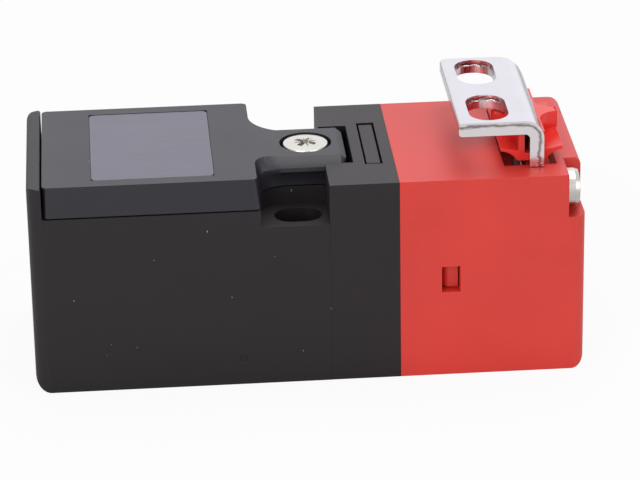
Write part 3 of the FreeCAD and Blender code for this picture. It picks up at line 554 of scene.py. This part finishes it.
# %% Head of the screw
NUMBER, WHOLE, ANGLES, STUFF = "NodeSocketFloat", "NodeSocketInt", "NodeSocketVector", "NodeSocketMaterial"
RIM_SHARE, CROWN_SHARE = 0.45, 0.35     # rim of the head's height, dome of the rim
screw_tree, size = new_tree("cross recess screw", {
    "Head radius": NUMBER, "Head height": NUMBER, "Rim": NUMBER, "Shank radius": NUMBER,
    "Shank length": NUMBER, "Direction": ANGLES, "Seed": WHOLE, "Finish": STUFF})
half_height = calc(screw_tree, "MULTIPLY", size["Head height"], 0.5)
drum = add(screw_tree, "GeometryNodeMeshCylinder", {
    "Vertices": 48, "Side Segments": 1, "Fill Segments": 12,
    "Radius": size["Head radius"], "Depth": size["Head height"]}, fill_type="TRIANGLE_FAN")
point = add(screw_tree, "GeometryNodeInputPosition").outputs[0]
axes = add(screw_tree, "ShaderNodeSeparateXYZ", {"Vector": point})
flat = add(screw_tree, "ShaderNodeCombineXYZ", {"X": axes.outputs["X"], "Y": axes.outputs["Y"]})
reach = add(screw_tree, "ShaderNodeVectorMath", {0: flat.outputs[0]}, operation="LENGTH").outputs["Value"]
rim_start = calc(screw_tree, "SUBTRACT", size["Head radius"], size["Rim"])
into_rim = add(screw_tree, "ShaderNodeMapRange", {
    "Value": reach, "From Min": rim_start, "From Max": size["Head radius"]}).outputs["Result"]
squared = calc(screw_tree, "MULTIPLY", into_rim, into_rim)
circle = calc(screw_tree, "SQRT", calc(screw_tree, "SUBTRACT", 1.0, squared))
fall = calc(screw_tree, "MULTIPLY", calc(screw_tree, "SUBTRACT", 1.0, circle), size["Rim"])
share = calc(screw_tree, "DIVIDE", reach, size["Head radius"])
crown = calc(screw_tree, "MULTIPLY", size["Rim"], CROWN_SHARE)
dome = calc(screw_tree, "MULTIPLY", calc(screw_tree, "MULTIPLY", share, share), crown)
drop = calc(screw_tree, "MULTIPLY", calc(screw_tree, "MAXIMUM", fall, dome), -1.0)
upper = add(screw_tree, "FunctionNodeCompare", {"A": axes.outputs["Z"], "B": 0.0}, operation="GREATER_THAN")
lower_by = add(screw_tree, "ShaderNodeCombineXYZ", {"Z": drop})
head = add(screw_tree, "GeometryNodeSetPosition", {
    "Geometry": drum.outputs["Mesh"], "Selection": upper.outputs["Result"], "Offset": lower_by.outputs[0]})
print("screw head:", len(screw_tree.nodes), "nodes")

# %% [markdown]
# The recess is cut by four bars that cross the head and narrow downwards: two wide, deep ones
# for the driver, and two thin, shallow ones between them, which mark this kind of recess. A
# boolean cuts them all at once, and its exact solver keeps the edges clean.

# %% Recess of the screw
WIDE, THIN = (1.28, 0.30, 1.1), (1.22, 0.08, 0.5)
NARROWING = (0.55, 0.55, 1.0)


def wing(turn, length, width, depth):
    """One bar, as shares of the head's radius, radius and height, turned about the screw's axis."""
    span = add(screw_tree, "ShaderNodeCombineXYZ", {
        "X": calc(screw_tree, "MULTIPLY", size["Head radius"], length),
        "Y": calc(screw_tree, "MULTIPLY", size["Head radius"], width),
        "Z": calc(screw_tree, "MULTIPLY", size["Head height"], depth)})
    box = add(screw_tree, "GeometryNodeMeshCube", {"Size": span.outputs[0]})
    low = add(screw_tree, "FunctionNodeCompare", {"A": axes.outputs["Z"], "B": 0.0}, operation="LESS_THAN")
    squeezed = add(screw_tree, "ShaderNodeVectorMath", {0: point, 1: NARROWING}, operation="MULTIPLY")
    narrowed = add(screw_tree, "GeometryNodeSetPosition", {
        "Geometry": box.outputs["Mesh"], "Selection": low.outputs["Result"], "Position": squeezed.outputs[0]})
    up = add(screw_tree, "ShaderNodeCombineXYZ", {"Z": half_height})
    return add(screw_tree, "GeometryNodeTransform", {
        "Geometry": narrowed.outputs[0], "Translation": up.outputs[0], "Rotation": (0, 0, turn)}).outputs[0]


cross = add(screw_tree, "GeometryNodeMeshBoolean", operation="DIFFERENCE", solver="EXACT")
screw_tree.links.new(head.outputs[0], cross.inputs["Mesh 1"])
for turn, bar in ((0, WIDE), (math.pi / 2, WIDE), (math.pi / 4, THIN), (-math.pi / 4, THIN)):
    screw_tree.links.new(wing(turn, *bar), cross.inputs["Mesh 2"])
print("with its recess:", len(screw_tree.nodes), "nodes")

# %% [markdown]
# The shank hangs under the head, and the whole screw is set on every seat. Each one is turned
# by its own random amount, as screws are when they are tight.

# %% Shank and placing
shank = add(screw_tree, "GeometryNodeMeshCylinder", {
    "Vertices": 32, "Radius": size["Shank radius"], "Depth": size["Shank length"]}, fill_type="NGON")
sink = calc(screw_tree, "MULTIPLY", calc(screw_tree, "ADD", size["Head height"], size["Shank length"]), -0.5)
down = add(screw_tree, "ShaderNodeCombineXYZ", {"Z": sink})
hung = add(screw_tree, "GeometryNodeTransform", {
    "Geometry": shank.outputs["Mesh"], "Translation": down.outputs[0]})
whole = add(screw_tree, "GeometryNodeJoinGeometry")
for part in (cross.outputs["Mesh"], hung.outputs[0]):
    screw_tree.links.new(part, whole.inputs[0])
lift = add(screw_tree, "ShaderNodeCombineXYZ", {"Z": half_height})
on_seat = add(screw_tree, "GeometryNodeTransform", {
    "Geometry": whole.outputs[0], "Translation": lift.outputs[0]})
spots = add(screw_tree, "GeometryNodeMeshToPoints", {"Mesh": size["Geometry"]})
many = add(screw_tree, "GeometryNodeInstanceOnPoints", {
    "Points": spots.outputs[0], "Instance": on_seat.outputs[0], "Rotation": size["Direction"]})
spin = add(screw_tree, "FunctionNodeRandomValue", {"Seed": size["Seed"]}, data_type="FLOAT")
spin.inputs["Max"].default_value = math.pi / 2
twist = add(screw_tree, "ShaderNodeCombineXYZ", {"Z": spin.outputs["Value"]})
turned = add(screw_tree, "GeometryNodeRotateInstances", {
    "Instances": many.outputs[0], "Rotation": twist.outputs[0]})
close_tree(screw_tree, turned.outputs[0])
print("screw tree:", len(screw_tree.nodes), "nodes")

# %% [markdown]
# ## Setting the screws
# The seats are read from the boxes of the CAD screws, inset by a head's radius and height.
# Each group of CAD screws is then replaced by one mesh, so that the switch keeps one piece
# per kind of screw. Only the cover's screw has a wider head than in CAD, to suit its seat.

# %% Head, block, collar and cover screws
def set_screws(node, seats, direction, head_r, head_h, shank_r, shank_length, seed):
    """Replaces a node by screws from the tree; seats are the points under their heads."""
    mesh = apply_tree(node + "_detailed", seats, screw_tree, {
        "Head radius": head_r, "Head height": head_h, "Rim": head_h * RIM_SHARE, "Shank radius": shank_r,
        "Shank length": shank_length, "Direction": direction, "Seed": seed,
        "Finish": finishes[slot_of[node]]})
    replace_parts(place(node + "_detailed", mesh, body_of[node], slot_of[node]), node)
    print(f"{node}: {len(seats)} screws, {len(mesh.polygons)} faces")


ALONG_X, UPWARDS, TO_CABLE = (0, math.pi / 2, 0), (0, 0, 0), (0, -math.pi / 2, 0)
low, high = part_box("head_screws")
inset, height = 2.75 * MM, 1.9 * MM
seat_x = high.x - height
seats = [(seat_x, low.y + inset, high.z - inset), (seat_x, high.y - inset, low.z + inset)]
set_screws("head_screws", seats, ALONG_X, head_r=inset, head_h=height,
           shank_r=1.25 * MM, shank_length=seat_x - low.x, seed=3)

low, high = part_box("block_screws")
inset, height = 1.9 * MM, 1.2 * MM
seat_z, middle_x = high.z - height, (low.x + high.x) / 2
seats = [(middle_x, y, seat_z) for y in (low.y + inset, high.y - inset)]
set_screws("block_screws", seats, UPWARDS, head_r=inset, head_h=height,
           shank_r=1.0 * MM, shank_length=seat_z - low.z, seed=5)

low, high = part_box("collar_screws")
inset, height = 2.3 * MM, 1.6 * MM
seat_x, middle_z = low.x + height, (low.z + high.z) / 2
seats = [(seat_x, y, middle_z) for y in (low.y + inset, high.y - inset)]
set_screws("collar_screws", seats, TO_CABLE, head_r=inset, head_h=height,
           shank_r=1.2 * MM, shank_length=high.x - seat_x, seed=8)

low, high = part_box("cover_screw")
gap, height = 0.28 * MM, 1.9 * MM
seat_z = high.z - height
set_screws("cover_screw", [(screw_x, screw_y, seat_z)], UPWARDS, head_r=SEAT_R - gap, head_h=height,
           shank_r=1.75 * MM, shank_length=seat_z - low.z, seed=11)

# %% [markdown]
# The terminal screws clamp the wires under captive saddle washers. The CAD mesh of these has
# both, so its plain heads are cut off above the seat and the holes are closed. What is left,
# the washers, stays under the new screws.

# %% Terminal screws and their washers
node = "terminal_screws"
low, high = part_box(node)
inset_x, inset_y, height = 2.3 * MM, 2.1 * MM, 1.6 * MM
seat_z = high.z - height
seats = [(x, y, seat_z) for x in (low.x + inset_x, high.x - inset_x)
         for y in (low.y + inset_y, high.y - inset_y)]
set_screws(node, seats, UPWARDS, head_r=inset_y, head_h=height,
           shank_r=1.1 * MM, shank_length=2.0 * MM, seed=17)
work = bmesh.new()
work.from_mesh(frame["nodes"][node].data)
bmesh.ops.remove_doubles(work, verts=work.verts, dist=MERGE)
heads = [face for face in work.faces if face.calc_center_median().z > seat_z + 0.05 * MM]
bmesh.ops.delete(work, geom=heads, context="FACES")
bmesh.ops.holes_fill(work, edges=[edge for edge in work.edges if edge.is_boundary])
bmesh.ops.recalc_face_normals(work, faces=work.faces)
mesh = bpy.data.meshes.new("terminal_washers")
work.to_mesh(mesh)
work.free()
place("terminal_washers", mesh, body_of[node], slot_of[node])
print("washers:", len(mesh.polygons), "faces")

# %% [markdown]
# ## The cable entry's thread
# The entry takes an M16 x 1.5 gland. Its thread is a ridge that winds round the bore: a
# spiral with a pointed profile swept along it, which is far lighter than cutting a groove.
# The profile's middle lies a little inside the bore, so that its root is in the wall and no
# gap shows. The ridge stops short of both ends of the bore, where a real one runs out.

# %% Thread in the cable entry
TOOTH_IN, TOOTH_R = 0.3, 0.7            # shares of the ridge: its middle's place, its radius
thread_tree, size = new_tree("inner thread", {
    "Bore radius": NUMBER, "Ridge": NUMBER, "Pitch": NUMBER, "Length": NUMBER, "Finish": STUFF})
turns = calc(thread_tree, "DIVIDE", size["Length"], size["Pitch"])
inwards = calc(thread_tree, "MULTIPLY", size["Ridge"], TOOTH_IN)
radius = calc(thread_tree, "SUBTRACT", size["Bore radius"], inwards)
coil = add(thread_tree, "GeometryNodeCurveSpiral", {
    "Resolution": 64, "Rotations": turns, "Start Radius": radius, "End Radius": radius,
    "Height": size["Length"]})
tooth = add(thread_tree, "GeometryNodeCurvePrimitiveCircle", {
    "Resolution": 4, "Radius": calc(thread_tree, "MULTIPLY", size["Ridge"], TOOTH_R)}, mode="RADIUS")
ridge = add(thread_tree, "GeometryNodeCurveToMesh", {
    "Curve": coil.outputs[0], "Profile Curve": tooth.outputs[0], "Fill Caps": True})
laid = add(thread_tree, "GeometryNodeTransform", {
    "Geometry": ridge.outputs[0], "Rotation": (0, math.pi / 2, 0)})
spots = add(thread_tree, "GeometryNodeMeshToPoints", {"Mesh": size["Geometry"]})
there = add(thread_tree, "GeometryNodeInstanceOnPoints", {
    "Points": spots.outputs[0], "Instance": laid.outputs[0]})
close_tree(thread_tree, there.outputs[0])

RIDGE, PITCH, END_GAP = 0.8 * MM, 1.5 * MM, 0.9 * MM
entry = next(m for m in frame["record"]["mounts"] if m["name"] == "cable_entry")
bore, length = entry["dims"]["r_mm"] * MM, entry["dims"]["length_mm"] * MM
mesh = apply_tree("entry_thread", [(base_low.x + END_GAP, 0, entry["pos_m"][2])], thread_tree, {
    "Bore radius": bore, "Ridge": RIDGE, "Pitch": PITCH, "Length": length - 2 * END_GAP,
    "Finish": finishes["black_body"]})
place("entry_thread", mesh, "switch_body", "black_body")
print(f"thread: {(length - 2 * END_GAP) / PITCH:.1f} turns, {len(mesh.polygons)} faces")

# %% [markdown]
# ## Floor
# The switch stands on a pale, matt floor under its mounting face. To the camera the floor is
# nearly as bright as the room, so that no horizon shows, and the little that is left of its
# shading keeps a soft shadow. The light-path node makes that difference.

# %% Floor
FLOOR_HALF, FLOOR_GLOW = 3.0, 0.92
low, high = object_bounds()
corners = [(x * FLOOR_HALF, y * FLOOR_HALF, low.z) for x, y in ((-1, -1), (1, -1), (1, 1), (-1, 1))]
floor_mesh = bpy.data.meshes.new("floor")
floor_mesh.from_pydata(corners, [], [(0, 1, 2, 3)])
floor = bpy.data.objects.new("floor", floor_mesh)
bpy.context.scene.collection.objects.link(floor)
material = bpy.data.materials.new("floor")
material.use_nodes = True
tree = material.node_tree
matt = add(tree, "ShaderNodeBsdfDiffuse", {"Color": (0.82, 0.82, 0.82, 1)})
white = add(tree, "ShaderNodeEmission", {"Color": (1, 1, 1, 1), "Strength": 1.0})
seen = add(tree, "ShaderNodeLightPath").outputs["Is Camera Ray"]
both = add(tree, "ShaderNodeMixShader", {
    0: calc(tree, "MULTIPLY", seen, FLOOR_GLOW), 1: matt.outputs[0], 2: white.outputs[0]})
tree.links.new(both.outputs[0], tree.nodes["Material Output"].inputs["Surface"])
floor_mesh.materials.append(material)
print(f"floor at z {low.z / MM:.2f} mm")

# %% [markdown]
# ## Room
# A white room suits glossy and matt parts alike. It is bright for the camera and for
# reflections only, and dim for the light that falls on the switch: the plated sheet mirrors
# white, while the lamps alone shape the matt plastics.

# %% Room
DIM, BRIGHT = 0.28, 1.0
world = bpy.data.worlds.new("room")
world.use_nodes = True
bpy.context.scene.world = world
tree = world.node_tree
tree.nodes.clear()
path = add(tree, "ShaderNodeLightPath")
shown = calc(tree, "MAXIMUM", path.outputs["Is Camera Ray"], path.outputs["Is Glossy Ray"])
shown = calc(tree, "MAXIMUM", shown, path.outputs["Is Transmission Ray"])
dim = add(tree, "ShaderNodeBackground", {"Color": (0.97, 0.98, 1, 1), "Strength": DIM})
bright = add(tree, "ShaderNodeBackground", {"Color": (1, 1, 1, 1), "Strength": BRIGHT})
both = add(tree, "ShaderNodeMixShader", {0: shown, 1: dim.outputs[0], 2: bright.outputs[0]})
add(tree, "ShaderNodeOutputWorld", {"Surface": both.outputs[0]})
print("room:", DIM, "for light,", BRIGHT, "for reflections")

# %% [markdown]
# ## Lamps
# Four large soft lamps stand round the switch. Two in front light the long side, the one
# overhead the cover, and a wide, faint one behind gives the tops their pale sheen at a flat
# angle. Large lamps keep every reflection on the matt plastic broad and soft.

# %% Lamps
def soft_lamp(name, place_at, aim, width, power, colour=(1, 1, 1)):
    """Square area lamp that faces a point."""
    data = bpy.data.lights.new(name, "AREA")
    data.color = colour
    data.size = width
    data.energy = power
    lamp = bpy.data.objects.new(name, data)
    lamp.location = place_at
    lamp.rotation_euler = (Vector(aim) - Vector(place_at)).to_track_quat("-Z", "Y").to_euler()
    bpy.context.scene.collection.objects.link(lamp)


middle = (low + high) / 2
soft_lamp("overhead", middle + Vector((0.05, 0.10, 0.60)), middle, 0.50, 2.1)
soft_lamp("front_left", middle + Vector((-0.35, -0.55, 0.30)), middle, 0.45, 2.05)
soft_lamp("front_right", middle + Vector((0.45, -0.45, 0.25)), middle, 0.40, 1.05)
soft_lamp("back", middle + Vector((0.05, 0.80, 0.40)), middle, 0.90, 1.0, (0.88, 0.87, 1.0))
print("lamps:", [light.name for light in bpy.data.lights])

# %% [markdown]
# ## Camera
# The camera looks from the front, a little from the left and well from above. It is far away
# with a long lens, so the edges stay nearly parallel, and a slight roll tilts the switch.

# %% Camera
AZIMUTH, ELEVATION, ROLL = math.radians(-4.35), math.radians(23.91), math.radians(-0.82)
DISTANCE, AIM = 0.484, Vector((0.0072, 0.0, 0.015))
backwards = Vector((math.sin(AZIMUTH) * math.cos(ELEVATION), -math.cos(AZIMUTH) * math.cos(ELEVATION),
                    math.sin(ELEVATION)))
camera_data = bpy.data.cameras.new("camera")
camera_data.sensor_width = 36.0
camera_data.lens = 188.1
camera_data.shift_x = -0.0369
camera_data.clip_start = 0.01
camera = bpy.data.objects.new("camera", camera_data)
camera.location = AIM + backwards * DISTANCE
turn = backwards.to_track_quat("Z", "Y").to_matrix().to_4x4()
camera.rotation_euler = (turn @ Matrix.Rotation(ROLL, 4, "Z")).to_euler()
bpy.context.scene.collection.objects.link(camera)
bpy.context.scene.camera = camera
bpy.context.scene.view_settings.view_transform = "Standard"
print("camera at", [round(value, 4) for value in camera.location])
